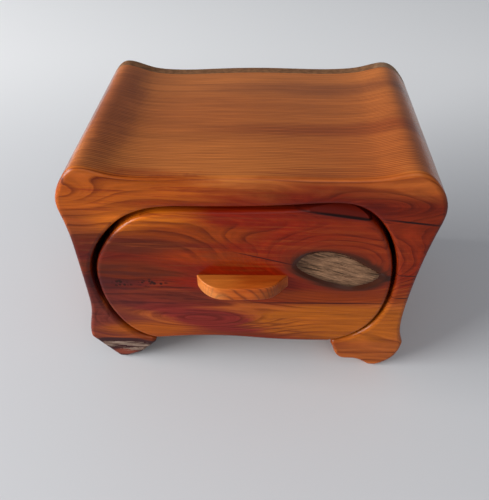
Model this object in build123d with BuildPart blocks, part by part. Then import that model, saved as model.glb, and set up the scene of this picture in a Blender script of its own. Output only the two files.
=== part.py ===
import os
from math import cos, radians, sin, tan

from build123d import *

# Small box sawn from one block of yew. Its outside is one wavy line cut from front to
# back, with an ear at each top corner and a foot running under each side. The drawer is
# the oval middle of the same block, and a slice of grey-brown timber closes the back.
# X runs left to right, Y front to back, Z up. Z = 0 is the table.

# Block
body_width = 219.0  # ear to ear
body_height = 158.5  # table to the higher ear
block_depth = 135.5  # yew block, front to back
back_thickness = 10.5  # slice glued over the back
edge_round = 2.8  # sanded round-over of the front edges, the drawer's face and the back slice
foot_height = 24.5  # table to the arched underside
foot_round = 3.0  # corners of the feet, seen from the front
seat_width = 5.0  # flat sanded on the lowest line of each foot

# Opening, as the wood left round it, and the gap round the drawer
left_wall = 5.8  # least wood beside the opening, at the waist
right_wall = 10.0
lid_thickness = 22.0  # top of the ears to the opening
lip_drop = 6.0  # arched underside to the lowest line of the opening
kerf = 2.7  # gap left by saw and sanding at the sides and the top
seat_gap = 0.3  # what is left of it below, where the drawer rests on the feet
drift = 0.5  # the drawer lies this far to the right of the middle
back_gap = 0.4  # drawer to back slice when shut
corner_round = 3.4  # corners that the saw left on the feet and the drawer, where it came out

# Drawer
face_thickness = 14.0  # front slice
tail_thickness = 10.0  # rear slice
drawer_wall = 10.0  # sides of the hollow
drawer_floor = 8.5  # underside of the block to the lowest line of the hollow
drawer_rim = 9.8  # top of the hollow's oval to the top of the drawer
mouth_inset = 15.0  # side of the hollow to the side of its mouth at the top
rim_round = 4.0  # the four corners of the hollow's mouth, seen from the front
tail_round = 1.5  # round-over on the drawer's rear edge
lining_thickness = 1.5
lining_height = 12.0  # how far the lining climbs the curved sides
lining_gap = 0.5  # lining to each end of the hollow

# Natural pocket in the drawer's face, placed from the drawer's centre
pocket_length_share = 0.313  # of the drawer's width
pocket_height = 31.0
pocket_depth = 1.4
pocket_x_share = 0.3186  # of the drawer's width, centre to centre
pocket_z = 11.5
pocket_floor_share = 0.86  # size of its floor against its rim
pocket_round = 0.6  # worn edge of its rim

# Sliver that broke away along a shake at the drawer's top right, from its centre
shake_start_x = 32.0
shake_start_z = 56.0
shake_end_x = 74.0
shake_end_z = 49.6
shake_slope = 40.0  # degrees, how steeply the broken surface climbs to the back
shake_reach = 30.0  # size of the piece cut away

# Pull and its dowels
pull_width = 56.0
pull_depth = 12.5  # how far it stands off the face
pull_thickness = 9.6
pull_rise = 1.2  # its middle over the drawer's centre
pull_tilt = 2.0  # degrees, right end up
pull_round = 0.8
dowel_diameter = 5.0
dowel_length = 16.0
dowel_seat = 8.5  # part of each dowel that sits in the drawer's face
dowel_spacing = 24.0
glue_gap = 0.1  # round each dowel and at both its ends

left_waist_share = -0.947  # narrowest places of the outline, of half_width
right_waist_share = 0.909
overrun = 6.0  # cuts run this far past what they cut
near = 0.01  # edges within this of a plane count as lying in it

half_width = body_width / 2
crown_height = body_height - foot_height
opening_left = left_waist_share * half_width + left_wall
opening_right = right_waist_share * half_width - right_wall
opening_width = opening_right - opening_left
opening_height = body_height - lid_thickness - foot_height + lip_drop
opening_x = (opening_left + opening_right) / 2
opening_z = body_height - lid_thickness - opening_height / 2
total_depth = block_depth + back_thickness
front_y = (pull_depth - total_depth) / 2  # box and pull together are centred on Y
block_back_y = front_y + block_depth
drawer_x = opening_x + drift
drawer_z = opening_z + (seat_gap - kerf) / 2
drawer_width = opening_width - 2 * kerf
drawer_height = opening_height - kerf - seat_gap
drawer_length = block_depth - back_gap
pocket_length = pocket_length_share * drawer_width
pocket_x = pocket_x_share * drawer_width
core_y = front_y + face_thickness
tail_y = front_y + drawer_length - tail_thickness
hollow_length = tail_y - core_y
hollow_width = drawer_width - 2 * drawer_wall
hollow_bottom = foot_height + drawer_floor
hollow_top = drawer_z + drawer_height / 2 - drawer_rim

# Outline from the left foot over the top to the right foot, in shares of half_width, and
# of crown_height from the underside up: bump, waist, ear, dip, the low crown of the lid
outline_share = [
    (-0.986, -0.035), (-0.978, 0.0478), (-0.95, 0.1602), (left_waist_share, 0.2666), (-0.959, 0.4914),
    (-0.985, 0.7161), (-1, 0.8107), (-0.978, 0.8758), (-0.932, 0.9397), (-0.862, 0.9858),
    (-0.8, 0.9823), (-0.693, 0.9551), (-0.56, 0.942), (-0.274, 0.9491), (0.034, 0.9586),
    (0.355, 0.9562), (0.558, 0.961), (0.672, 0.974), (0.755, 0.9929), (0.825, 0.9988),
    (0.88, 0.9799), (0.932, 0.9373), (0.982, 0.8734), (1, 0.8167), (0.985, 0.7161),
    (0.945, 0.5269), (0.915, 0.2903), (right_waist_share, 0.1602), (0.92, 0.0596), (0.944, -0.003),
]

# Feet, in shares of half_width and foot_height. Their inner lines run on past the tips
foot_share = 0.6  # the feet lie past this share of half_width
left_seat_share = -0.806  # middle of each foot's flat, of half_width
right_seat_share = 0.782
heel_share = [(0.936, 0.67), (0.907, 0.36), (0.857, 0.13)]  # outside of the right foot, under its bump
left_toe_share = [(-0.684, 0.2), (-0.45, 1.245)]
right_toe_share = [
    (0.715, 0.14), (0.674, 0.222), (0.617, 0.232), (0.572, 0.28), (0.544, 0.43),
    (0.523, 0.69), (0.497, 0.93), (0.47, 1.13), (0.41, 1.6),
]
underside_share = [
    (-0.66, 0.781), (-0.57, 0.841), (-0.325, 0.97), (-0.12, 1.003), (0.1, 0.951),
    (0.32, 0.935), (0.485, 0.957), (0.57, 0.95),
]

# Oval of opening and drawer, in shares of half its width and half its height
oval_share = [
    (-1.0, -0.04), (-0.975, 0.24), (-0.885, 0.51), (-0.735, 0.765), (-0.54, 0.893),
    (-0.30, 0.922), (0.0, 0.936), (0.28, 0.965), (0.52, 1.0), (0.70, 0.972),
    (0.82, 0.84), (0.925, 0.59), (0.985, 0.29), (1.0, 0.0), (0.978, -0.32),
    (0.88, -0.665), (0.75, -0.84), (0.50, -0.955), (0.0, -1.0), (-0.50, -0.992),
    (-0.70, -0.94), (-0.83, -0.80), (-0.93, -0.55), (-0.985, -0.28),
]

# Pocket, in shares of half its length and half its height
pocket_share = [
    (-1.0, 0.26), (-0.78, 0.80), (-0.33, 1.0), (0.2, 0.78), (0.72, 0.16),
    (1.0, -0.24), (0.7, -0.80), (0.30, -1.0), (-0.33, -0.68), (-0.86, -0.16),
]

# Pull from above, in shares of half its width and of its depth
pull_share = [
    (-1.0, 0.0), (-0.88, 0.42), (-0.71, 0.76), (-0.55, 0.93), (-0.34, 0.996),
    (0.03, 0.982), (0.40, 0.945), (0.58, 0.86), (0.70, 0.72), (0.85, 0.37), (1.0, 0.0),
]


def sized(shares, width, height, x=0.0, z=0.0):
    """Points of an outline from their shares of a width and a height."""
    return [(x + width * u, z + height * v) for u, v in shares]


def oval(width, height, x, z):
    """The closed oval that the opening, the drawer and its hollow have in common."""
    with BuildSketch() as shape:
        with BuildLine():
            Spline(*sized(oval_share, width / 2, height / 2, x, z), periodic=True)
        make_face()
    return shape.sketch


def block_outline():
    """The block seen from the front, closed straight across from foot to foot."""
    left_seat = left_seat_share * half_width - seat_width / 2
    right_seat = right_seat_share * half_width + seat_width / 2
    outline = sized(outline_share, half_width, crown_height, z=foot_height)
    heel = sized(heel_share, half_width, foot_height)
    with BuildSketch() as shape:
        with BuildLine():
            Spline(*outline)
            Spline(outline[-1], *heel, (right_seat, 0))
            Polyline((right_seat, 0), (left_seat, 0), outline[0])
        make_face()
    return shape.sketch


def space_between_feet():
    """What the saw took away between the feet, running up into the opening."""
    left_seat = (left_seat_share * half_width + seat_width / 2, 0)
    right_seat = (right_seat_share * half_width - seat_width / 2, 0)
    left_toe = sized(left_toe_share, half_width, foot_height)
    right_toe = sized(right_toe_share, half_width, foot_height)
    with BuildSketch() as shape:
        with BuildLine():
            Polyline(right_seat, left_seat, *left_toe, right_toe[-1])
            Spline(right_seat, *right_toe)
        make_face()
    return shape.sketch


def space_below():
    """What lies under the arched underside, and level with its ends out to both sides."""
    underside = sized(underside_share, half_width, foot_height)
    right_side = [(half_width, underside[-1][1]), (half_width, -overrun)]
    left_side = [(-half_width, -overrun), (-half_width, underside[0][1])]
    with BuildSketch() as shape:
        with BuildLine():
            Spline(*underside)
            Polyline(underside[-1], *right_side, *left_side, underside[0])
        make_face()
    return shape.sketch


def drawer_outline():
    """The drawer seen from the front: its oval, cut off below by the arched underside."""
    with BuildSketch() as shape:
        add(oval(drawer_width, drawer_height, drawer_x, drawer_z))
        add(space_below().moved(Location((drift, 0))), mode=Mode.SUBTRACT)
    return shape.sketch


def hollow_oval(inset=0):
    """The oval of the drawer's hollow, or one drawn in from it all round."""
    height = hollow_top - hollow_bottom - 2 * inset
    return oval(hollow_width - 2 * inset, height, drawer_x, (hollow_top + hollow_bottom) / 2)


def pocket_outline(share):
    """The outline of the pocket, at a share of its size, round its own centre."""
    with BuildSketch() as shape:
        with BuildLine():
            points = sized(pocket_share, share * pocket_length / 2, share * pocket_height / 2)
            Spline(*points, periodic=True)
        make_face()
    return shape.sketch


def corners(sketch, between):
    """The corners of a sketch that lie between the feet, or those of the feet."""
    reach = foot_share * half_width
    return [v for v in sketch.vertices() if (abs(v.X) < reach) == between]


def lower_corners(part):
    """The two edges, from front to back, where the drawer's sides meet its underside."""
    return part.edges().filter_by(Axis.Y).sort_by(Axis.Z)[:2]


def edges_at(part, y):
    """The edges of a part that lie in one plane square to Y."""
    return part.edges().filter_by_position(Axis.Y, y - near, y + near)


front_plane = Plane.XZ.offset(-front_y)
tilt = radians(pull_tilt)
pull_plane = Plane((drawer_x, front_y, drawer_z + pull_rise), (cos(tilt), 0, sin(tilt)), (0, -1, 0))
dowel_places = [(-dowel_spacing / 2, 0), (dowel_spacing / 2, 0)]

# Body: the block, its outer line sawn and the drawer sawn out of it
with BuildPart() as body:
    with BuildSketch(front_plane) as body_sketch:
        add(block_outline())
        add(space_between_feet(), mode=Mode.SUBTRACT)
        fillet(corners(body_sketch, False), foot_round)
        add(oval(opening_width, opening_height, opening_x, opening_z), mode=Mode.SUBTRACT)
        fillet(corners(body_sketch, True), corner_round)
    extrude(amount=-block_depth)
    fillet(edges_at(body, front_y), edge_round)
body.part.label = "body"

# Back: the slice that closes the block behind
with BuildPart() as back_panel:
    with BuildSketch(Plane.XZ.offset(-block_back_y)) as back_sketch:
        add(block_outline())
        add(space_between_feet() & space_below(), mode=Mode.SUBTRACT)
        fillet(corners(back_sketch, False), foot_round)
        fillet(corners(back_sketch, True), corner_round)
    extrude(amount=-back_thickness)
    fillet(edges_at(back_panel, block_back_y + back_thickness), edge_round)
back_panel.part.label = "back_panel"

# Drawer front: rounded face, the sliver missing at the top right, pocket and dowel holes
shake_line = Vector(shake_end_x - shake_start_x, 0, shake_end_z - shake_start_z)
shake_start = Vector(drawer_x + shake_start_x, front_y, drawer_z + shake_start_z)
shake_plane = Plane(shake_start, (0, 1, 0), shake_line)
shake_lift = shake_reach * tan(radians(shake_slope))
with BuildPart() as drawer_front:
    with BuildSketch(front_plane):
        add(drawer_outline())
    extrude(amount=-face_thickness)
    fillet(lower_corners(drawer_front), corner_round)
    with BuildSketch(shake_plane):
        Polygon(
            (-shake_reach, -shake_lift),
            (shake_reach, shake_lift),
            (-shake_reach, shake_lift),
            align=None,
        )
    extrude(amount=2 * shake_reach, both=True, mode=Mode.SUBTRACT)
    fillet(edges_at(drawer_front, front_y).filter_by(GeomType.LINE, reverse=True), edge_round)
    with BuildSketch(front_plane):
        with Locations((drawer_x + pocket_x, drawer_z + pocket_z)):
            add(pocket_outline(1))
    with BuildSketch(front_plane.offset(-pocket_depth)):
        with Locations((drawer_x + pocket_x, drawer_z + pocket_z)):
            add(pocket_outline(pocket_floor_share))
    loft(mode=Mode.SUBTRACT)
    fillet(edges_at(drawer_front, front_y).filter_by(lambda edge: edge.is_closed), pocket_round)
    with BuildSketch(pull_plane):
        with Locations(dowel_places):
            Circle(dowel_diameter / 2 + glue_gap)
    extrude(amount=-dowel_seat - glue_gap, mode=Mode.SUBTRACT)
drawer_front.part.label = "drawer_front"

# Drawer core: the middle of the drawer, with the hollow sawn in from above
with BuildPart() as drawer_core:
    with BuildSketch(Plane.XZ.offset(-core_y)) as core_sketch:
        add(drawer_outline())
        add(hollow_oval(), mode=Mode.SUBTRACT)
        with Locations((drawer_x, hollow_top)):
            mouth_width = hollow_width - 2 * mouth_inset
            Rectangle(mouth_width, hollow_top - hollow_bottom, mode=Mode.SUBTRACT)
        fillet(core_sketch.vertices().sort_by(Axis.Y)[-4:], rim_round)
    extrude(amount=-hollow_length)
    fillet(lower_corners(drawer_core), corner_round)
drawer_core.part.label = "drawer_core"

# Drawer back: the slice that closes the hollow behind
with BuildPart() as drawer_back:
    with BuildSketch(Plane.XZ.offset(-tail_y)):
        add(drawer_outline())
    extrude(amount=-tail_thickness)
    fillet(lower_corners(drawer_back), corner_round)
    fillet(edges_at(drawer_back, tail_y + tail_thickness), tail_round)
drawer_back.part.label = "drawer_back"

# Pull: a slip of golden sapwood, flat against the face, its corners cut away in front
with BuildPart() as drawer_pull:
    with BuildSketch(Plane(pull_plane.origin, pull_plane.x_dir, (sin(tilt), 0, -cos(tilt)))):
        with BuildLine():
            pull_line = sized(pull_share, pull_width / 2, pull_depth)
            Spline(*pull_line)
            Line(pull_line[-1], pull_line[0])
        make_face()
    extrude(amount=pull_thickness / 2, both=True)
    fillet(drawer_pull.edges() - edges_at(drawer_pull, front_y), pull_round)
    with BuildSketch(pull_plane):
        with Locations(dowel_places):
            Circle(dowel_diameter / 2 + glue_gap)
    extrude(amount=dowel_length - dowel_seat + glue_gap, mode=Mode.SUBTRACT)
drawer_pull.part.label = "drawer_pull"

# Dowels: two pegs that hold the pull on the face
with BuildPart() as pull_dowels:
    with BuildSketch(pull_plane.offset(-dowel_seat)):
        with Locations(dowel_places):
            Circle(dowel_diameter / 2)
    extrude(amount=dowel_length)
pull_dowels.part.label = "pull_dowels"

# Lining: a strip of thin felt on the floor of the hollow
with BuildPart() as drawer_lining:
    with BuildSketch(Plane.XZ.offset(-core_y - lining_gap)) as lining_sketch:
        add(hollow_oval())
        add(hollow_oval(lining_thickness), mode=Mode.SUBTRACT)
        with Locations((drawer_x, hollow_bottom)):
            Rectangle(drawer_width, 2 * lining_height, mode=Mode.INTERSECT)
    extrude(amount=2 * lining_gap - hollow_length)
drawer_lining.part.label = "drawer_lining"

os.makedirs("parts", exist_ok=True)
for piece in (
    body, back_panel, drawer_front, drawer_core, drawer_back, drawer_pull, pull_dowels, drawer_lining,
):
    export_step(piece.part, "parts/" + piece.part.label + ".step")
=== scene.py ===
import math

import bmesh
import bpy
from mathutils import Matrix, Vector, noise


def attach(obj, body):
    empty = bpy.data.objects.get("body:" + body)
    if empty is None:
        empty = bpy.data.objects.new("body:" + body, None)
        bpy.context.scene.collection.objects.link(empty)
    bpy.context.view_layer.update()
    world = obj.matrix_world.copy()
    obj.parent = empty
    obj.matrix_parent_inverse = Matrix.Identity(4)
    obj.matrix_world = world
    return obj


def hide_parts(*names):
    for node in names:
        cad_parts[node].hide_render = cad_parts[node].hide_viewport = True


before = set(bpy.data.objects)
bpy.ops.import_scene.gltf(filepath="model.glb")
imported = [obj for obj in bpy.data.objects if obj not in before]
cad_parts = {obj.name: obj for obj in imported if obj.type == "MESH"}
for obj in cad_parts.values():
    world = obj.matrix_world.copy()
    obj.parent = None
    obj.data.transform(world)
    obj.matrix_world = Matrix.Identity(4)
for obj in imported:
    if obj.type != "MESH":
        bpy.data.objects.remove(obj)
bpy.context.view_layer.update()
mm = 0.001
print("frame loaded:", len(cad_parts), "nodes")

# The camera stands in front and looks down on the box, as in the photograph.
boxCamera = {
    "at": (10.624, -326.518, 324.125),  # mm
    "turn": -0.0499179,  # radians, as the next two
    "pitch": 0.7056774,
    "roll": 0.0036247,
    "lens": 41.76,  # mm
}


def makeCamera():
    turn, pitch, roll = boxCamera["turn"], boxCamera["pitch"], boxCamera["roll"]
    ahead = Vector((math.sin(turn) * math.cos(pitch), math.cos(turn) * math.cos(pitch), -math.sin(pitch)))
    across = Vector((math.cos(turn), -math.sin(turn), 0))
    downward = ahead.cross(across)
    right = across * math.cos(roll) + downward * math.sin(roll)
    up = across * math.sin(roll) - downward * math.cos(roll)
    lens = bpy.data.cameras.new("boxCamera")
    lens.lens = boxCamera["lens"]
    camera = bpy.data.objects.new("boxCamera", lens)
    place = Matrix.Translation(Vector(boxCamera["at"]) * mm)
    camera.matrix_world = place @ Matrix((right, up, -ahead)).transposed().to_4x4()
    bpy.context.scene.collection.objects.link(camera)
    bpy.context.scene.camera = camera


makeCamera()
bpy.context.scene.view_settings.view_transform = "Standard"


# Colours are written as sRGB hex and turned to linear here.
def linear(hexColour):
    parts = [int(hexColour[i:i + 2], 16) / 255 for i in (1, 3, 5)]
    return tuple(p / 12.92 if p <= 0.04045 else ((p + 0.055) / 1.055) ** 2.4 for p in parts) + (1,)


# Adds a node with its settings. Each of its inputs is a constant or the output that feeds it.
def addNode(tree, kind, settings=None, inputs=None):
    node = tree.nodes.new("ShaderNode" + kind)
    for name, value in (settings or {}).items():
        setattr(node, name, value)
    for name, value in (inputs or {}).items():
        if isinstance(value, bpy.types.NodeSocket):
            tree.links.new(value, node.inputs[name])
        else:
            node.inputs[name].default_value = value
    return node


smooth = {"interpolation_type": "SMOOTHSTEP"}
multiplyAdd = {"operation": "MULTIPLY_ADD"}  # the first input times the second, plus the third
noiseMiddle = 0.5  # the value round which every noise swings


def newMaterial(name):
    material = bpy.data.materials.new(name)
    material.use_nodes = True
    material.node_tree.nodes.clear()
    return material, material.node_tree


# Finishes a material: its colour, its fine relief and the shader's own constants.
def coverWith(tree, colour, relief, finish):
    bump = addNode(tree, "Bump", None, {"Height": relief, **finish["bump"]})
    inputs = {"Base Color": colour, "Normal": bump.outputs[0], **finish["shader"]}
    shader = addNode(tree, "BsdfPrincipled", None, inputs)
    addNode(tree, "OutputMaterial", None, {"Surface": shader.outputs[0]})


# Lays coats over a colour, one by one. Each is a mask, 1 where it covers and 0 elsewhere, and a colour.
def layCoats(tree, colour, coats):
    for mask, coat in coats:
        mix = addNode(tree, "Mix", {"data_type": "RGBA"}, {0: mask, 6: colour, 7: linear(coat)})
        colour = mix.outputs[2]
    return colour


# The inside of a soft ellipsoid, from 1 in the middle to 0 outside. It fades over a share of its reach on both
# sides of its line, the given one or a half, and rag makes the line uneven.
def patch(tree, where, spot, rag=None):
    turn = math.radians(spot.get("turn", 0))
    placing = {"Vector": where, "Location": spot["at"], "Scale": spot["reach"], "Rotation": (0, turn, 0)}
    placed = addNode(tree, "Mapping", {"vector_type": "TEXTURE"}, placing).outputs[0]
    far = addNode(tree, "VectorMath", {"operation": "LENGTH"}, {0: placed}).outputs["Value"]
    if rag:
        far = addNode(tree, "Math", {"operation": "ADD"}, {0: far, 1: rag}).outputs[0]
    edge = spot.get("edge", 0.5)
    fade = {"Value": far, "From Min": 1 + edge, "From Max": 1 - edge}
    return addNode(tree, "MapRange", smooth, fade).outputs[0]


# A noise of streaks, whose size in mm is given along X, Y and Z.
def streaks(tree, where, grain, output="Fac"):
    squeezed = addNode(tree, "VectorMath", {"operation": "DIVIDE"}, {0: where, 1: grain["size"]}).outputs[0]
    inputs = {"Vector": squeezed, "Scale": 1.0, "Detail": grain["detail"], "Roughness": grain["rough"]}
    return addNode(tree, "TexNoise", None, inputs).outputs[output]


def inMillimetres(tree):
    place = addNode(tree, "TexCoord").outputs["Object"]
    return addNode(tree, "VectorMath", {"operation": "SCALE"}, {0: place, "Scale": 1 / mm}).outputs[0]


# One block of yew: a solid pattern in millimetres, so that the grain runs on from the body over the gap into
# the drawer.
yewGrain = {
    "ringWidth": 1.7,  # mm between growth rings, which lie nearly parallel to the front
    "lean": 0.21,  # how far a ring moves back as it climbs
    "sway": {"size": (110, 90, 40), "detail": 2, "rough": 0.45, "lift": 6.4},  # over a hand's width
    "ripple": {"size": (40, 60, 9), "detail": 2, "rough": 0.5, "lift": 0.8},
    # knots and swellings that bend the rings: place, reach and lift in mm
    "hills": [
        {"at": (53, -60, 90), "reach": (58, 55, 28), "lift": 19.5},
        {"at": (-4, -66, 111), "reach": (18, 30, 8), "lift": 2.1},
        {"at": (-33, -66, 41), "reach": (48, 50, 12), "lift": 9.8},
        {"at": (-108, -60, 139), "reach": (26, 40, 10), "lift": 5.2},
        {"at": (-92, -66, 34), "reach": (15, 30, 12), "lift": 4.5},
        {"at": (-108, -66, 96), "reach": (18, 30, 9), "lift": 3.2},
        {"at": (52, -66, 30), "reach": (60, 50, 12), "lift": -2.6},
        {"at": (74, -66, 136), "reach": (32, 50, 8), "lift": 5.2},
    ],
}

# The yew's fibres follow its rings, and the finer ones run along the box.
yewFibres = {
    "perMm": (0.012, 0.5, 0.015),  # how close the fibres lie along the box, through the rings and up
    "noise": {"Scale": 1.0, "Detail": 6.0, "Roughness": 0.6},
    "closer": (3.0, 4.0, 14.0),  # how many times closer the threads lie
    "threadNoise": {"Scale": 1.0, "Detail": 4.0, "Roughness": 0.6},
    "fine": {"size": (40, 0.9, 0.9), "detail": 2, "rough": 0.6},
    "lidFine": {"size": (90, 0.9, 12), "detail": 2, "rough": 0.6},
    "lidHeight": {"From Min": 143, "From Max": 151},  # mm, where the lid's look takes over
    "tug": {"size": (60, 40, 5), "detail": 4, "rough": 0.6},
    "tugBy": (30, 12, 6),  # mm over which a patch is drawn about
    # how ragged the patches are, from behind to the front
    "raggedFront": {"From Min": -30, "From Max": -62, "To Min": 0.1, "To Max": 0.9},
}

# Heartwood and sapwood colours, and two patches of painted shade on the left ear, each a soft patch drawn out
# along the grain: middle and reach in mm, and turn in degrees.
yewPatches = {
    "golden band over the opening": {
        "at": (-84, -68, 137), "reach": (70, 14, 22), "edge": 0.3, "colour": "#a44e11"},
    "red heart over the drawer": {
        "at": (66, -74, 138), "reach": (74, 22, 18), "edge": 0.45, "colour": "#681704"},
    "orange edge over the red heart": {
        "at": (98, -66, 152), "reach": (40, 40, 6), "edge": 0.5, "colour": "#9a440b"},
    "dark heart of the left side": {
        "at": (-112, -40, 85.5), "reach": (58, 200, 33), "edge": 0.1, "colour": "#481616"},
    "brown streak of the left side": {
        "at": (-104, -40, 86), "reach": (20, 100, 5), "edge": 0.6, "colour": "#74301e"},
    "red lower left": {
        "at": (-100, -40, 36), "reach": (40, 200, 17), "edge": 0.4, "colour": "#6a281c"},
    "dark right side": {
        "at": (104, -66, 106), "reach": (30, 70, 34), "edge": 0.4, "colour": "#661b04"},
    "golden right foot": {
        "at": (95, -40, 26), "reach": (60, 200, 34), "edge": 0.2, "colour": "#a6541e"},
    "red heart of the drawer": {
        "at": (10, -66, 98), "reach": (100, 30, 40), "edge": 0.2, "colour": "#7a1803"},
    "browner right of the drawer": {
        "at": (68, -66, 106), "reach": (34, 30, 22), "edge": 0.6, "colour": "#7e2608"},
    "browner end of the golden band": {
        "at": (-96, -66, 119), "reach": (26, 20, 9), "edge": 0.6, "colour": "#8a4014"},
    "golden edge of the drawer": {
        "at": (-58, -66, 121), "reach": (30, 40, 9), "edge": 0.5, "colour": "#ba5f12"},
    "orange under the golden edge": {
        "at": (-30, -66, 113), "reach": (34, 40, 7), "edge": 0.6, "colour": "#883406"},
    "brown upper left of the drawer": {
        "at": (-66, -66, 103), "reach": (34, 40, 7), "edge": 0.6, "colour": "#581e0c"},
    "orange left of the drawer": {
        "at": (-72, -66, 84), "reach": (30, 40, 9), "edge": 0.6, "colour": "#662208"},
    "orange over the pull": {
        "at": (-22, -66, 96), "reach": (30, 40, 5), "edge": 0.8, "colour": "#8c3004"},
    "dark stripe left of the pull": {
        "at": (-52, -66, 62), "reach": (48, 40, 8), "edge": 0.5, "colour": "#6a2414"},
    "plum streak over the magenta heart": {
        "at": (-58, -66, 51), "reach": (34, 40, 5), "edge": 0.6, "turn": 10, "colour": "#64221a"},
    "magenta heart": {
        "at": (-17, -66, 40), "reach": (48, 50, 12), "edge": 0.35, "turn": 12, "colour": "#76221a"},
    "golden lower right of the drawer": {
        "at": (60, -66, 42), "reach": (58, 60, 17), "edge": 0.25, "colour": "#a65612"},
    "golden lower left of the drawer": {
        "at": (-68, -66, 30), "reach": (26, 40, 7), "edge": 0.5, "colour": "#9c4a0e"},
    "red underside of the drawer": {
        "at": (-4, -66, 22), "reach": (60, 60, 6), "edge": 0.6, "colour": "#70240b"},
    "brown under the pocket": {
        "at": (48, -66, 66), "reach": (44, 40, 6), "edge": 0.4, "colour": "#803008"},
    "redder right half of the lid": {
        "at": (100, -24, 153), "reach": (80, 50, 12), "edge": 0.6, "colour": "#ae5c26"},
    "redder middle of the lid": {
        "at": (0, 4, 153), "reach": (130, 30, 12), "edge": 0.6, "colour": "#b06028"},
    "red band across the lid": {
        "at": (84, -12, 153), "reach": (90, 8, 12), "edge": 0.6, "colour": "#984a1e"},
    "brown band across the lid": {
        "at": (60, 44, 153), "reach": (90, 10, 12), "edge": 0.7, "colour": "#9a5426"},
    # painted shade: the slope inside the left ear, which turns away from the window light
    "painted shade on the slope inside the left ear": {
        "at": (-88, 12, 154), "reach": (13, 66, 9), "edge": 0.6, "colour": "#9c5226"},
    # painted shade: the outside of the left ear, kept darker than the window lamp leaves it
    "painted shade outside the left ear": {
        "at": (-111, 14, 148), "reach": (14, 62, 16), "edge": 0.4, "colour": "#6a3420"},
    # darker along the top edge of the opening
    "darker band along the opening's top": {
        "at": (48, -70, 134), "reach": (40, 16, 6), "edge": 0.6, "colour": "#560f03"},
    "plum edge of the left ear": {
        "at": (-105, -58, 149), "reach": (6, 12, 6), "edge": 0.5, "colour": "#5c2c2c"},
}

# Thin veins of another colour, seen only inside their own patch.
yewVeins = {
    "purple veins of the left side": {
        "at": (-115, -40, 76), "reach": (60, 200, 36), "colour": "#35141a", "share": 0.8},
    "dark veins of the drawer's left half": {
        "at": (-62, -66, 80), "reach": (62, 40, 36), "colour": "#431409", "share": 0.75},
    "orange veins of the red heart": {
        "at": (-10, -66, 104), "reach": (100, 40, 22), "colour": "#a04616", "share": 0.4},
    "red veins over the opening": {
        "at": (-30, -68, 138), "reach": (120, 12, 16), "colour": "#7c260a", "share": 0.7},
    "plum veins of the magenta heart": {
        "at": (-22, -66, 41), "reach": (60, 50, 14), "turn": 12, "colour": "#4c1216", "share": 0.6},
    "brown veins of the golden foot": {
        "at": (80, -60, 30), "reach": (90, 100, 30), "colour": "#7a3610", "share": 0.6},
}

yewColours = {
    "deep": "#8a3c14",
    "bright": "#984a18",
    "lid": "#be6c2e",
    "mottle": {"From Min": 0.35, "From Max": 0.65},
    "veins": {"size": (60, 14, 2.6), "detail": 5, "rough": 0.62},
    "veinCut": {"From Min": 0.5, "From Max": 0.64},
}

# Thin dark lines of late wood. Bands of them are stronger, and over the pull they nearly fade.
yewLines = {
    "colour": "#7a3420",
    # how dark a ring gets, from its early to its late wood
    "stops": ((0.6, 0.08), (0.84, 0.8), (0.92, 1.0), (1.0, 0.0)),
    "bands": {"size": (80, 12, 12), "detail": 2, "rough": 0.6},
    "share": {"From Min": 0.38, "From Max": 0.62, "To Min": 0.14, "To Max": 0.58},
    "lidShare": 0.28,  # added on the lid
    "calm": {"at": (-16, -66, 86), "reach": (42, 20, 12)},
    "calmShare": 0.75,
}

# How much lighter and darker the streaks make the wood.
yewTones = {
    "fibres": 0.8,
    "lidFibres": -0.55,  # added on the lid, where wider streaks take over
    "lidStreaks": {"size": (180, 2, 12), "detail": 5, "rough": 0.78},
    "threads": {"From Min": 0.25, "From Max": 0.75, "To Min": 0.78, "To Max": 1.22},
    "fine": {"From Min": 0.25, "From Max": 0.75, "To Min": 0.86, "To Max": 1.14},
}

# Tiny pips on the left of the drawer, in two clusters.
yewPips = {
    "colour": "#2c0e06",
    "perMm": 0.38,
    "cut": {"From Min": 0.5, "From Max": 0.34},
    "clusters": [
        {"at": (-79, -66, 72), "reach": (7, 6, 3.2), "edge": 0.3},
        {"at": (-60, -66, 73), "reach": (9, 6, 3.6), "edge": 0.3},
    ],
}

# A dark stain of bark on the left foot, with an edge that is more torn behind.
yewBark = {
    "tear": {"size": (30, 14, 4), "detail": 4, "rough": 0.6},
    "tornBack": {"From Min": -64, "From Max": -52, "To Min": 0.25, "To Max": 1.6},
    "spots": [
        {"at": (-86, -60, 6), "reach": (40, 60, 14.5), "edge": 0.06, "colour": "#351718"},
        {"at": (-86, -60, 6), "reach": (8, 30, 3), "edge": 0.5, "colour": "#7c3826"},
    ],
}

# The drawer's wood is darker round the pocket and on its walls.
darkRoundPocket = {
    "rag": 0.5,  # as a share of what the patches have
    "spots": [
        {"at": (54, -66, 87.5), "reach": (34, 10, 18), "edge": 0.35, "turn": 14, "colour": "#6a240d"},
        {"at": (54, -66, 87.8), "reach": (30.5, 10, 15.2), "edge": 0.12, "turn": 14, "colour": "#3c1a0c"},
        {"at": (82, -66, 83.5), "reach": (6, 10, 2.6), "edge": 0.4, "turn": 8, "colour": "#32160c"},
    ],
}

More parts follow.
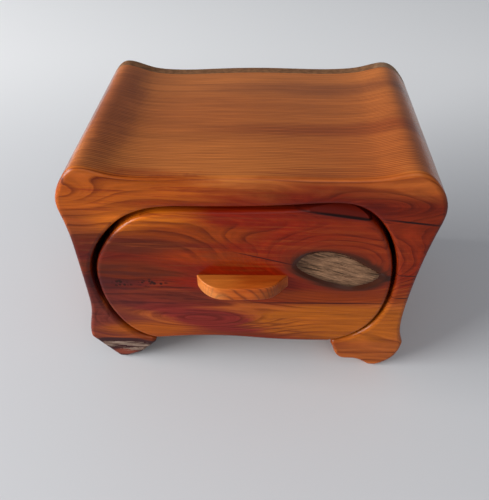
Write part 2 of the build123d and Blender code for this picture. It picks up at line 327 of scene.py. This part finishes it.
# Fine dark shakes, each a spindle, and painted shade in the hollow where a sliver broke off the drawer. The
# first shake runs on from that sliver.
shakesAndSliverShade = [
    {"at": (92, -60, 125.8), "reach": (21, 16, 0.75), "turn": 6, "colour": "#1c0604"},
    {"at": (96, -60, 85.5), "reach": (9, 12, 0.5), "turn": 1, "colour": "#30100a"},
    {"at": (96, -60, 66.5), "reach": (9, 12, 0.45), "turn": 1, "colour": "#30100a"},
    {"at": (44, -66, 60.0), "reach": (44, 10, 0.55), "turn": -2, "colour": "#3c120a"},
    {"at": (12, -66, 95.5), "reach": (20, 10, 0.45), "turn": 14, "colour": "#3c100a"},
    # painted shade: the hollow where the sliver broke off the drawer's top edge, not a shake
    {"at": (52, -64, 131.5), "reach": (27, 8, 4.2), "turn": 7, "colour": "#5c150a"},
    {"at": (54, -66, 128.6), "reach": (24, 8, 0.7), "turn": 7.8, "colour": "#1e0604"},
]

yewFinish = {
    "bump": {"Strength": 0.12, "Distance": 0.0002},
    "shader": {"Roughness": 0.24, "IOR": 1.5, "Specular IOR Level": 0.16},
}


# How deep each place lies in the block's growth rings, in mm.
def growthRings(tree, here, apart):
    leaning = {0: apart["Z"], 1: yewGrain["lean"], 2: apart["Y"]}
    depth = addNode(tree, "Math", multiplyAdd, leaning).outputs[0]
    for hill in yewGrain["hills"]:
        placing = {"Vector": here, "Location": hill["at"], "Scale": hill["reach"]}
        placed = addNode(tree, "Mapping", {"vector_type": "TEXTURE"}, placing).outputs[0]
        square = addNode(tree, "VectorMath", {"operation": "DOT_PRODUCT"}, {0: placed, 1: placed})
        fall = {0: square.outputs["Value"], 1: -1.0}
        fall = addNode(tree, "Math", {"operation": "MULTIPLY"}, fall).outputs[0]
        bulge = addNode(tree, "Math", {"operation": "EXPONENT"}, {0: fall}).outputs[0]
        depth = addNode(tree, "Math", multiplyAdd, {0: bulge, 1: hill["lift"], 2: depth}).outputs[0]
    for swing in (yewGrain["sway"], yewGrain["ripple"]):
        moved = {0: streaks(tree, here, swing), 1: swing["lift"], 2: depth}
        depth = addNode(tree, "Math", multiplyAdd, moved).outputs[0]
    return depth


# What the yew's colours, lines and marks read: places, ring depth, the lid's mask and the fibres' noises.
def yewField(tree):
    here = inMillimetres(tree)
    apart = addNode(tree, "SeparateXYZ", None, {0: here}).outputs
    depth = growthRings(tree, here, apart)
    inRings = addNode(tree, "CombineXYZ", None, {"X": apart["X"], "Y": depth, "Z": apart["Z"]}).outputs[0]
    multiply = {"operation": "MULTIPLY"}
    flow = addNode(tree, "VectorMath", multiply, {0: inRings, 1: yewFibres["perMm"]}).outputs[0]
    fibres = addNode(tree, "TexNoise", None, {"Vector": flow, **yewFibres["noise"]}).outputs["Fac"]
    closer = addNode(tree, "VectorMath", multiply, {0: flow, 1: yewFibres["closer"]}).outputs[0]
    threads = addNode(tree, "TexNoise", None, {"Vector": closer, **yewFibres["threadNoise"]}).outputs["Fac"]

    lid = addNode(tree, "MapRange", smooth, {"Value": apart["Z"], **yewFibres["lidHeight"]}).outputs[0]
    fine = streaks(tree, here, yewFibres["fine"])
    lidFine = streaks(tree, here, yewFibres["lidFine"])
    change = addNode(tree, "Math", {"operation": "SUBTRACT"}, {0: lidFine, 1: fine}).outputs[0]
    fine = addNode(tree, "Math", multiplyAdd, {0: change, 1: lid, 2: fine}).outputs[0]

    tug = streaks(tree, here, yewFibres["tug"], "Color")
    tugBy = yewFibres["tugBy"]
    tugged = {0: tug, 1: tugBy, 2: [-noiseMiddle * side for side in tugBy]}
    tug = addNode(tree, "VectorMath", multiplyAdd, tugged).outputs[0]
    drawn = addNode(tree, "VectorMath", {"operation": "ADD"}, {0: here, 1: tug}).outputs[0]
    inFront = addNode(tree, "MapRange", smooth, {"Value": apart["Y"], **yewFibres["raggedFront"]}).outputs[0]
    swing = addNode(tree, "Math", {"operation": "SUBTRACT"}, {0: fibres, 1: noiseMiddle}).outputs[0]
    rag = addNode(tree, "Math", multiply, {0: swing, 1: inFront}).outputs[0]
    return {
        "here": here, "apart": apart, "drawn": drawn, "depth": depth, "lid": lid,
        "fibres": fibres, "swing": swing, "threads": threads, "fine": fine, "rag": rag,
    }


def heartwoodAndShade(tree, field):
    mottle = addNode(tree, "MapRange", None, {"Value": field["fibres"], **yewColours["mottle"]}).outputs[0]
    coats = [(mottle, yewColours["bright"]), (field["lid"], yewColours["lid"])]
    for spot in yewPatches.values():
        coats.append((patch(tree, field["drawn"], spot, field["rag"]), spot["colour"]))
    cut = {"Value": streaks(tree, field["drawn"], yewColours["veins"]), **yewColours["veinCut"]}
    veins = addNode(tree, "MapRange", None, cut).outputs[0]
    for vein in yewVeins.values():
        inside = patch(tree, field["drawn"], vein, field["rag"])
        seen = addNode(tree, "Math", {"operation": "MULTIPLY"}, {0: veins, 1: inside}).outputs[0]
        share = addNode(tree, "Math", {"operation": "MULTIPLY"}, {0: seen, 1: vein["share"]}).outputs[0]
        coats.append((share, vein["colour"]))
    return layCoats(tree, linear(yewColours["deep"]), coats)


def ringLines(tree, field, colour):
    turns = {0: field["depth"], 1: yewGrain["ringWidth"]}
    turns = addNode(tree, "Math", {"operation": "DIVIDE"}, turns).outputs[0]
    turn = addNode(tree, "Math", {"operation": "FRACT"}, {0: turns}).outputs[0]
    late = addNode(tree, "ValToRGB", None, {"Fac": turn})
    stops = late.color_ramp.elements
    stops.remove(stops[1])  # the first, black at 0, stays
    for position, value in yewLines["stops"]:
        stops.new(position).color = (value, value, value, 1)

    bands = streaks(tree, field["here"], yewLines["bands"])
    share = addNode(tree, "MapRange", None, {"Value": bands, **yewLines["share"]}).outputs[0]
    onLid = {0: field["lid"], 1: yewLines["lidShare"], 2: share}
    share = addNode(tree, "Math", multiplyAdd, onLid).outputs[0]
    calm = patch(tree, field["here"], yewLines["calm"])
    kept = addNode(tree, "Math", multiplyAdd, {0: calm, 1: -yewLines["calmShare"], 2: 1.0}).outputs[0]
    share = addNode(tree, "Math", {"operation": "MULTIPLY"}, {0: share, 1: kept}).outputs[0]
    share = addNode(tree, "Math", {"operation": "MULTIPLY"}, {0: late.outputs["Color"], 1: share}).outputs[0]
    darkening = {0: share, 6: colour, 7: linear(yewLines["colour"])}
    return addNode(tree, "Mix", {"data_type": "RGBA", "blend_type": "MULTIPLY"}, darkening).outputs[2]


def streakTones(tree, field, colour):
    strength = {0: field["lid"], 1: yewTones["lidFibres"], 2: yewTones["fibres"]}
    strength = addNode(tree, "Math", multiplyAdd, strength).outputs[0]
    swing = addNode(tree, "Math", {"operation": "MULTIPLY"}, {0: field["swing"], 1: strength}).outputs[0]
    lidStreaks = {0: streaks(tree, field["here"], yewTones["lidStreaks"]), 1: noiseMiddle}
    lidSwing = addNode(tree, "Math", {"operation": "SUBTRACT"}, lidStreaks).outputs[0]
    swing = addNode(tree, "Math", multiplyAdd, {0: lidSwing, 1: field["lid"], 2: swing}).outputs[0]
    tone = addNode(tree, "Math", {"operation": "ADD"}, {0: swing, 1: 1.0}).outputs[0]
    for streak in ("threads", "fine"):
        lift = addNode(tree, "MapRange", None, {"Value": field[streak], **yewTones[streak]}).outputs[0]
        tone = addNode(tree, "Math", {"operation": "MULTIPLY"}, {0: tone, 1: lift}).outputs[0]
    return addNode(tree, "VectorMath", {"operation": "SCALE"}, {0: colour, "Scale": tone}).outputs[0]


def marksAndShade(tree, field, colour):
    here = field["here"]
    cells = {"Vector": here, "Scale": yewPips["perMm"], "Randomness": 1.0}
    near = addNode(tree, "TexVoronoi", None, cells).outputs["Distance"]
    pip = addNode(tree, "MapRange", None, {"Value": near, **yewPips["cut"]}).outputs[0]
    coats = []
    for cluster in yewPips["clusters"]:
        inside = {0: pip, 1: patch(tree, here, cluster)}
        seen = addNode(tree, "Math", {"operation": "MULTIPLY"}, inside).outputs[0]
        coats.append((seen, yewPips["colour"]))

    torn = addNode(tree, "MapRange", None, {"Value": field["apart"]["Y"], **yewBark["tornBack"]}).outputs[0]
    uneven = {0: streaks(tree, here, yewBark["tear"]), 1: noiseMiddle}
    uneven = addNode(tree, "Math", {"operation": "SUBTRACT"}, uneven).outputs[0]
    torn = addNode(tree, "Math", {"operation": "MULTIPLY"}, {0: torn, 1: uneven}).outputs[0]
    lessRag = {0: field["rag"], 1: darkRoundPocket["rag"]}
    lessRag = addNode(tree, "Math", {"operation": "MULTIPLY"}, lessRag).outputs[0]
    for spots, rag in ((yewBark["spots"], torn), (darkRoundPocket["spots"], lessRag), (shakesAndSliverShade, None)):
        for spot in spots:
            coats.append((patch(tree, here, spot, rag), spot["colour"]))
    return layCoats(tree, colour, coats)


# Oiled yew, sawn and sanded: warm orange to purple heartwood, thin dark ring lines, long fine streaks, and a
# satin gloss. Painted shade darkens the left ear and the hollow where a sliver broke off the drawer.
def oiledYew():
    material, tree = newMaterial("oiledYew")
    field = yewField(tree)
    colour = heartwoodAndShade(tree, field)
    for layer in (ringLines, streakTones, marksAndShade):
        colour = layer(tree, field, colour)
    coverWith(tree, colour, field["fine"], yewFinish)
    return material


# The other timbers: rings as nearly flat sheets, square to the direction given, and streaks along the grain.
timbers = {
    "drawer_pull": {
        "name": "oiledSapwood",
        "square": (0.10, 1.0, 0.10),
        "ringWidth": 1.1,
        "sway": {"size": (18, 30, 20), "detail": 3, "rough": 0.5, "lift": 1.3},
        "fibre": (14, 0.7, 0.7),
        "pale": "#bc5a1a",
        "deep": "#9a3e0c",
        "line": "#64260c",
        "lineShare": 0.75,
        "spots": [
            # paler front left: partly end grain, partly painted light on the side facing the window
            {"at": (-30, -76, 75), "reach": (16, 12, 6), "colour": "#c98a4a", "share": 0.4},
            # painted shade on the front right, which turns away from the window
            {"at": (18, -76, 75), "reach": (14, 12, 6), "colour": "#7c3f1c", "share": 0.6},
            {"at": (-24, -70, 83), "reach": (18, 12, 4), "colour": "#cc7a30", "share": 0.45},
            # painted shade along the back of the top, where the pull meets the drawer
            {"at": (14, -66, 84), "reach": (18, 7, 4), "colour": "#8c3a0c", "share": 0.5},
        ],
        "shader": {"Roughness": 0.34, "Specular IOR Level": 0.15},
    },
    "back_panel": {
        "name": "greyBrownTimber",
        "square": (0.26, 0.95, 0.03),
        "ringWidth": 2.4,
        "sway": {"size": (48, 40, 220), "detail": 3, "rough": 0.5, "lift": 8.0},
        "fibre": (0.7, 0.7, 60),
        "pale": "#8c6242",
        "deep": "#704c32",
        "line": "#543822",
        "lineShare": 0.3,
        "spots": [
            {"at": (96, 74, 156), "reach": (12, 12, 7), "edge": 0.6, "colour": "#b09478", "share": 0.4},
        ],
        "shader": {"Roughness": 0.55, "Specular IOR Level": 0.05},
    },
    "pull_dowels": {
        "name": "beechDowel",
        "square": (1.0, 0.0, 0.2),
        "ringWidth": 1.4,
        "sway": {"size": (9, 40, 9), "detail": 3, "rough": 0.5, "lift": 1.0},
        "fibre": (0.5, 8, 0.5),
        "pale": "#d8b98a",
        "deep": "#c9a572",
        "line": "#a98252",
        "lineShare": 0.4,
        "spots": [],
        "shader": {"Roughness": 0.6, "Specular IOR Level": 0.3},
    },
}

# What those timbers share.
timberGrain = {
    "fine": {"detail": 4, "rough": 0.6},
    "broad": {"detail": 2, "rough": 0.5},
    "broadTimes": 4,  # how much wider the broad streaks are than the fibres
    "mottle": {"From Min": 0.35, "From Max": 0.65},
    "tone": {"From Min": 0.25, "From Max": 0.75, "To Min": 0.78, "To Max": 1.22},
    "lateTurn": 0.5,  # share of a ring at which its line is darkest
    "latePower": 2.2,
    "lateCut": {"From Min": 0.04, "From Max": 0.2},
    "rag": 0.6,
    "bump": {"Strength": 0.2, "Distance": 0.0002},
}


def timber(recipe):
    material, tree = newMaterial(recipe["name"])
    here = inMillimetres(tree)
    inward = {0: here, 1: recipe["square"]}
    depth = addNode(tree, "VectorMath", {"operation": "DOT_PRODUCT"}, inward).outputs["Value"]
    swayed = {0: streaks(tree, here, recipe["sway"]), 1: recipe["sway"]["lift"], 2: depth}
    depth = addNode(tree, "Math", multiplyAdd, swayed).outputs[0]
    turns = addNode(tree, "Math", {"operation": "DIVIDE"}, {0: depth, 1: recipe["ringWidth"]}).outputs[0]
    turn = addNode(tree, "Math", {"operation": "FRACT"}, {0: turns}).outputs[0]
    late = addNode(tree, "Math", {"operation": "PINGPONG"}, {0: turn, 1: timberGrain["lateTurn"]}).outputs[0]
    late = addNode(tree, "Math", {"operation": "POWER"}, {0: late, 1: timberGrain["latePower"]}).outputs[0]
    late = {"Value": late, "To Max": recipe["lineShare"], **timberGrain["lateCut"]}
    late = addNode(tree, "MapRange", None, late).outputs[0]

    fine = streaks(tree, here, {"size": recipe["fibre"], **timberGrain["fine"]})
    wider = [timberGrain["broadTimes"] * side for side in recipe["fibre"]]
    broad = streaks(tree, here, {"size": wider, **timberGrain["broad"]})
    mottle = addNode(tree, "MapRange", None, {"Value": broad, **timberGrain["mottle"]}).outputs[0]
    coats = [(mottle, recipe["deep"]), (late, recipe["line"])]
    for spot in recipe["spots"]:
        rag = {0: broad, 1: timberGrain["rag"], 2: -noiseMiddle * timberGrain["rag"]}
        rag = addNode(tree, "Math", multiplyAdd, rag).outputs[0]
        inside = patch(tree, here, spot, rag)
        share = addNode(tree, "Math", {"operation": "MULTIPLY"}, {0: inside, 1: spot["share"]}).outputs[0]
        coats.append((share, spot["colour"]))
    colour = layCoats(tree, linear(recipe["pale"]), coats)
    tone = addNode(tree, "MapRange", None, {"Value": fine, **timberGrain["tone"]}).outputs[0]
    colour = addNode(tree, "VectorMath", {"operation": "SCALE"}, {0: colour, "Scale": tone}).outputs[0]
    coverWith(tree, colour, fine, {"bump": timberGrain["bump"], "shader": recipe["shader"]})
    return material


yew = oiledYew()
for nodeName in ("body", "drawer_front", "drawer_core", "drawer_back"):
    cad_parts[nodeName].material_slots[0].material = yew
for nodeName, recipe in timbers.items():
    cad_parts[nodeName].material_slots[0].material = timber(recipe)
print("timbers on the CAD nodes")


def newPiece(name, mesh, material, body):
    data = bpy.data.meshes.new(name)
    mesh.to_mesh(data)
    mesh.free()
    data.materials.append(material)
    data.shade_smooth()
    piece = bpy.data.objects.new(name, data)
    bpy.context.scene.collection.objects.link(piece)
    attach(piece, body)
    return piece


# A flat grid that stands upright and faces the front, from -1 to 1 in X and Z.
def uprightGrid(cells):
    mesh = bmesh.new()
    upright = Matrix.Rotation(math.pi / 2, 4, "X")
    bmesh.ops.create_grid(mesh, x_segments=cells[0], y_segments=cells[1], size=1, matrix=upright)
    return mesh


# The natural pocket holds a bed of weathered, torn fibres, which stands proud of the pocket's floor and dies
# away under its edge.
pocketBed = {
    "at": (54.32, 87.8),  # mm in X and Z, as all sizes here
    "half": (28.5, 15.5),
    "floor": -65.35,  # in Y
    "cells": (96, 54),
    "slope": -15.0,  # degrees, for the way that the fibres run
    "rise": 0.45,
    "ridge": {"size": (13, 1.1), "seed": 3.1, "lift": 0.55, "rough": 0.6, "step": 2.2, "octaves": 4},
    "lump": {"size": (11, 6), "seed": 7.7, "lift": 0.3},
    "rim": 3.0,  # width over which the bed dies away
    "sunk": 0.3,  # depth under the pocket's floor at the rim
    "deepest": 0.35,
    "cutDepth": 0.29,  # what lies deeper than this is cut away
}
# the pocket's outline, in shares of the half size
pocketLine = [(-1.0, 0.26), (-0.78, 0.80), (-0.33, 1.0), (0.2, 0.78), (0.72, 0.16),
              (1.0, -0.24), (0.7, -0.80), (0.30, -1.0), (-0.33, -0.68), (-0.86, -0.16)]

weatheredLooks = {
    "dark": "#321d10",
    "pale": "#aa8060",
    "brown": "#684832",
    "split": "#33210f",
    "rim": "#2e1a0e",
    "fine": {"size": (9, 5, 0.55), "detail": 5, "rough": 0.65},
    "fineCut": {"From Min": 0.3, "From Max": 0.68},
    "broad": {"size": (26, 9, 2.6), "detail": 3, "rough": 0.5},
    "broadCut": {"From Min": 0.42, "From Max": 0.62, "To Max": 0.4},
    "splits": {"size": (22, 9, 0.9), "detail": 3, "rough": 0.6},
    "splitCut": {"From Min": 0.46, "From Max": 0.38},
    "middle": (2.5, 0.5),  # mm from the bed's own middle to the pale part's
    "share": (0.84, 0.76),  # the pale part's size over the bed's
    "depth": 30,
    "edge": 0.4,
    "turn": 14,
    "rag": 0.5,
    "bump": {"Strength": 0.7, "Distance": 0.0006},
    "shader": {"Roughness": 0.62, "Specular IOR Level": 0.2},
}


# Bare old wood, torn along its grain: pale dry fibres over dark splits, dull, and dark again round the rim.
def weatheredFibre():
    looks = weatheredLooks
    material, tree = newMaterial("weatheredFibre")
    here = inMillimetres(tree)
    tilt = {"Vector": here, "Rotation": (0, math.radians(pocketBed["slope"]), 0)}
    tilted = addNode(tree, "Mapping", None, tilt).outputs[0]
    fine = streaks(tree, tilted, looks["fine"])
    broad = streaks(tree, tilted, looks["broad"])
    splits = streaks(tree, tilted, looks["splits"])
    layers = ((fine, "fineCut", "pale"), (broad, "broadCut", "brown"), (splits, "splitCut", "split"))
    coats = []
    for value, cut, coat in layers:
        mask = addNode(tree, "MapRange", None, {"Value": value, **looks[cut]}).outputs[0]
        coats.append((mask, looks[coat]))
    colour = layCoats(tree, linear(looks["dark"]), coats)

    rag = {0: broad, 1: looks["rag"], 2: -noiseMiddle * looks["rag"]}
    rag = addNode(tree, "Math", multiplyAdd, rag).outputs[0]
    x, z = (whole + moved for whole, moved in zip(pocketBed["at"], looks["middle"]))
    wide, high = (half * share for half, share in zip(pocketBed["half"], looks["share"]))
    palePart = {
        "at": (x, pocketBed["floor"], z),
        "reach": (wide, looks["depth"], high),
        "edge": looks["edge"],
        "turn": looks["turn"],
    }
    rimmed = {0: patch(tree, here, palePart, rag), 6: linear(looks["rim"]), 7: colour}
    colour = addNode(tree, "Mix", {"data_type": "RGBA"}, rimmed).outputs[2]
    coverWith(tree, colour, fine, looks)
    return material


# How far a point lies inside the pocket's line, in mm, and below 0 outside it.
def edgeDistance(x, z):
    line = [Vector((u * pocketBed["half"][0], v * pocketBed["half"][1])) for u, v in pocketLine]
    here = Vector((x, z))
    nearest, inside = math.inf, False
    for first, second in zip(line, line[1:] + line[:1]):
        step = second - first
        share = min(max((here - first).dot(step) / step.length_squared, 0), 1)
        nearest = min(nearest, (here - first - step * share).length)
        crossed = (first.y > z) != (second.y > z)
        if crossed and x < first.x + (z - first.y) / (second.y - first.y) * (second.x - first.x):
            inside = not inside
    return nearest if inside else -nearest


def fibreBed():
    mesh = uprightGrid(pocketBed["cells"])
    ridge, lump, sunk = pocketBed["ridge"], pocketBed["lump"], pocketBed["sunk"]
    angle = math.radians(pocketBed["slope"])
    for corner in mesh.verts:
        x, z = corner.co.x * pocketBed["half"][0], corner.co.z * pocketBed["half"][1]
        inward = min(edgeDistance(x, z) / pocketBed["rim"], 1)
        along = x * math.cos(angle) + z * math.sin(angle)
        across = z * math.cos(angle) - x * math.sin(angle)
        ridgePlace = Vector((along / ridge["size"][0], across / ridge["size"][1], ridge["seed"]))
        ridgeLift = ridge["lift"] * noise.fractal(ridgePlace, ridge["rough"], ridge["step"], ridge["octaves"])
        lumpPlace = Vector((x / lump["size"][0], z / lump["size"][1], lump["seed"]))
        lumpLift = lump["lift"] * noise.noise(lumpPlace)
        proud = inward * (pocketBed["rise"] + ridgeLift + lumpLift) - sunk * (1 - inward)
        depth = pocketBed["floor"] - max(proud, -pocketBed["deepest"])
        corner.co = Vector((pocketBed["at"][0] + x, depth, pocketBed["at"][1] + z)) * mm
    deepest = (pocketBed["floor"] + pocketBed["cutDepth"]) * mm
    bmesh.ops.delete(mesh, geom=[corner for corner in mesh.verts if corner.co.y > deepest], context="VERTS")
    newPiece("pocketFibres", mesh, weatheredFibre(), "drawer")


fibreBed()
print("pocket filled")

# Pale bark clings to the front of the left foot in thin rough scales, which die away under the wood.
barkScales = {
    "at": (-84, 12.6),  # mm in X and Z, as all sizes here
    "half": (18, 6.2),
    "cells": (90, 40),
    "climb": -0.06,  # mm that the strip climbs for each mm to the right
    "rise": 0.5,
    "flake": {"size": (22, 1.5), "seed": 2.2, "rough": 0.7, "step": 2.1, "octaves": 4},
    "wave": {"height": 14.4, "share": 0.3},  # rows of scales 6.3 mm apart, with one at this height
    "lowest": -0.5,
    "fadeEnds": 6,  # a sixth of the half length
    "fadeSides": 4,  # a quarter of the half height
    "sunk": 0.15,  # depth under the wood at the edges
    "cutDepth": 0.12,  # what lies deeper than this is cut away
    "frontOf": -64,  # the bark ends where the wood lies behind this Y
    "rayStart": -100,  # in Y, well in front of the box
}

barkLooks = {
    "dark": "#4a2e26",
    "pale": "#9a8474",
    "flakes": {"size": (12, 3, 0.7), "detail": 5, "rough": 0.65},
    "flakeCut": {"From Min": 0.38, "From Max": 0.62},
    "bump": {"Strength": 0.7, "Distance": 0.0005},
    "shader": {"Roughness": 0.75, "Specular IOR Level": 0.15},
}


# Old thin bark: dull grey-brown flakes along the grain.
def paleBark():
    material, tree = newMaterial("paleBark")
    flakes = streaks(tree, inMillimetres(tree), barkLooks["flakes"])
    mask = addNode(tree, "MapRange", None, {"Value": flakes, **barkLooks["flakeCut"]}).outputs[0]
    coverWith(tree, layCoats(tree, linear(barkLooks["dark"]), [(mask, barkLooks["pale"])]), flakes, barkLooks)
    return material


def barkSkin():
    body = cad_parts["body"]
    mesh = uprightGrid(barkScales["cells"])
    flake, wave, half = barkScales["flake"], barkScales["wave"], barkScales["half"]
    lost = []
    for corner in mesh.verts:
        u, v = corner.co.x, corner.co.z
        x = barkScales["at"][0] + u * half[0]
        z = barkScales["at"][1] + v * half[1] + barkScales["climb"] * u * half[0]
        start = Vector((x, barkScales["rayStart"], z)) * mm
        found, spot, _, _ = body.ray_cast(start, Vector((0, 1, 0)))
        face = spot.y / mm if found else 0
        flakePlace = Vector((x / flake["size"][0], z / flake["size"][1], flake["seed"]))
        height = noise.fractal(flakePlace, flake["rough"], flake["step"], flake["octaves"])
        height += wave["share"] * math.cos(z - wave["height"])
        edge = min((1 - abs(u)) * barkScales["fadeEnds"], (1 - abs(v)) * barkScales["fadeSides"], 1)
        height = min(max(height, barkScales["lowest"]), 1)
        proud = barkScales["rise"] * height * edge - barkScales["sunk"] * (1 - edge)
        corner.co = Vector((x, face - proud, z)) * mm
        if face > barkScales["frontOf"] or proud < -barkScales["cutDepth"]:
            lost.append(corner)
    bmesh.ops.delete(mesh, geom=lost, context="VERTS")
    loose = [corner for corner in mesh.verts if not corner.link_faces]
    bmesh.ops.delete(mesh, geom=loose, context="VERTS")
    newPiece("barkSkin", mesh, paleBark(), "case")


barkSkin()
print("bark on the left foot")

feltLooks = {
    "dark": "#22301f",
    "pale": "#3d5238",
    "nap": {"size": (0.8, 0.8, 0.8), "detail": 6, "rough": 0.7},
    "napCut": {"From Min": 0.3, "From Max": 0.7},
    "cloud": {"size": (14, 14, 14), "detail": 3, "rough": 0.5},
    "cloudTone": {"From Min": 0.3, "From Max": 0.7, "To Min": 0.85, "To Max": 1.15},
    "bump": {"Strength": 0.8, "Distance": 0.0004},
    "shader": {"Roughness": 0.95, "Specular IOR Level": 0.1, "Sheen Weight": 0.15, "Sheen Roughness": 0.5},
}
mergeWithin = 0.00001  # metres, for the loose triangles of a CAD node's copy


# Dark green felt of pressed wool: a dull, slightly cloudy nap.
def greenFelt():
    material, tree = newMaterial("greenFelt")
    here = inMillimetres(tree)
    nap = streaks(tree, here, feltLooks["nap"])
    mask = addNode(tree, "MapRange", None, {"Value": nap, **feltLooks["napCut"]}).outputs[0]
    colour = layCoats(tree, linear(feltLooks["dark"]), [(mask, feltLooks["pale"])])
    cloud = {"Value": streaks(tree, here, feltLooks["cloud"]), **feltLooks["cloudTone"]}
    tone = addNode(tree, "MapRange", None, cloud).outputs[0]
    colour = addNode(tree, "VectorMath", {"operation": "SCALE"}, {0: colour, "Scale": tone}).outputs[0]
    coverWith(tree, colour, nap, feltLooks)
    return material


# The felt is laid on the drawer's floor.
def feltLining():
    mesh = bmesh.new()
    mesh.from_mesh(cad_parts["drawer_lining"].data)
    bmesh.ops.remove_doubles(mesh, verts=mesh.verts, dist=mergeWithin)
    felt = newPiece("feltLining", mesh, greenFelt(), "drawer")
    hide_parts("drawer_lining")


feltLining()
print("felt laid")

tableTop = {
    "half": 4,  # metres
    "near": "#d0d1d3",
    # painted light: lighter far behind the box, where the lamp's light falls off
    "far": "#f0f0f0",
    "farFrom": {"From Min": 60, "From Max": 500},  # mm in Y
    "underLamp": "#5c5d5f",  # darker close to the window lamp, so that little of it clips
    "underLampFrom": {"From Min": -450, "From Max": -1500},  # mm in X
    "shader": {"Roughness": 0.9, "Specular IOR Level": 0.05},
}


# A pale matt table, a little darker near the box: it is painted lighter far behind, where the lamp's light
# falls off.
def paleTable():
    material, tree = newMaterial("paleTable")
    away = addNode(tree, "SeparateXYZ", None, {0: inMillimetres(tree)}).outputs
    far = addNode(tree, "MapRange", smooth, {"Value": away["Y"], **tableTop["farFrom"]}).outputs[0]
    underLamp = {"Value": away["X"], **tableTop["underLampFrom"]}
    underLamp = addNode(tree, "MapRange", smooth, underLamp).outputs[0]
    coats = [(far, tableTop["far"]), (underLamp, tableTop["underLamp"])]
    paint = {"Base Color": layCoats(tree, linear(tableTop["near"]), coats), **tableTop["shader"]}
    shader = addNode(tree, "BsdfPrincipled", None, paint)
    addNode(tree, "OutputMaterial", None, {"Surface": shader.outputs[0]})
    return material


def makeFloor():
    mesh = bmesh.new()
    bmesh.ops.create_grid(mesh, x_segments=1, y_segments=1, size=tableTop["half"])
    data = bpy.data.meshes.new("floor")
    mesh.to_mesh(data)
    mesh.free()
    floor = bpy.data.objects.new("floor", data)
    bpy.context.scene.collection.objects.link(floor)
    data.materials.append(paleTable())


makeFloor()

# Window light comes from the left, and a little from the room: places and sizes in mm, power in watts.
lamps = {
    "windowLamp": {"at": (-2180, -630, 690), "size": (1870, 1090), "power": 105, "colour": "#ffffff"},
    "roomLamp": {"at": (250, -1300, 1000), "size": (1200, 900), "power": 5, "colour": "#fffaf6"},
}
lampAim = (0, 0, 60)  # mm, in the lower half of the box
roomLight = {"colour": "#dee3eb", "strength": 0.39}


def makeLamp(name, place):
    light = bpy.data.lights.new(name, "AREA")
    light.shape = "RECTANGLE"
    light.size, light.size_y = (side * mm for side in place["size"])
    light.energy = place["power"]
    light.color = linear(place["colour"])[:3]
    lamp = bpy.data.objects.new(name, light)
    start = Vector(place["at"]) * mm
    turned = (Vector(lampAim) * mm - start).to_track_quat("-Z", "Y").to_matrix().to_4x4()
    lamp.matrix_world = Matrix.Translation(start) @ turned
    bpy.context.scene.collection.objects.link(lamp)


for lampName, place in lamps.items():
    makeLamp(lampName, place)

world = bpy.data.worlds.new("room")
world.use_nodes = True
background = world.node_tree.nodes["Background"].inputs
background["Color"].default_value = linear(roomLight["colour"])
background["Strength"].default_value = roomLight["strength"]
bpy.context.scene.world = world
print("table, lamps and room set")
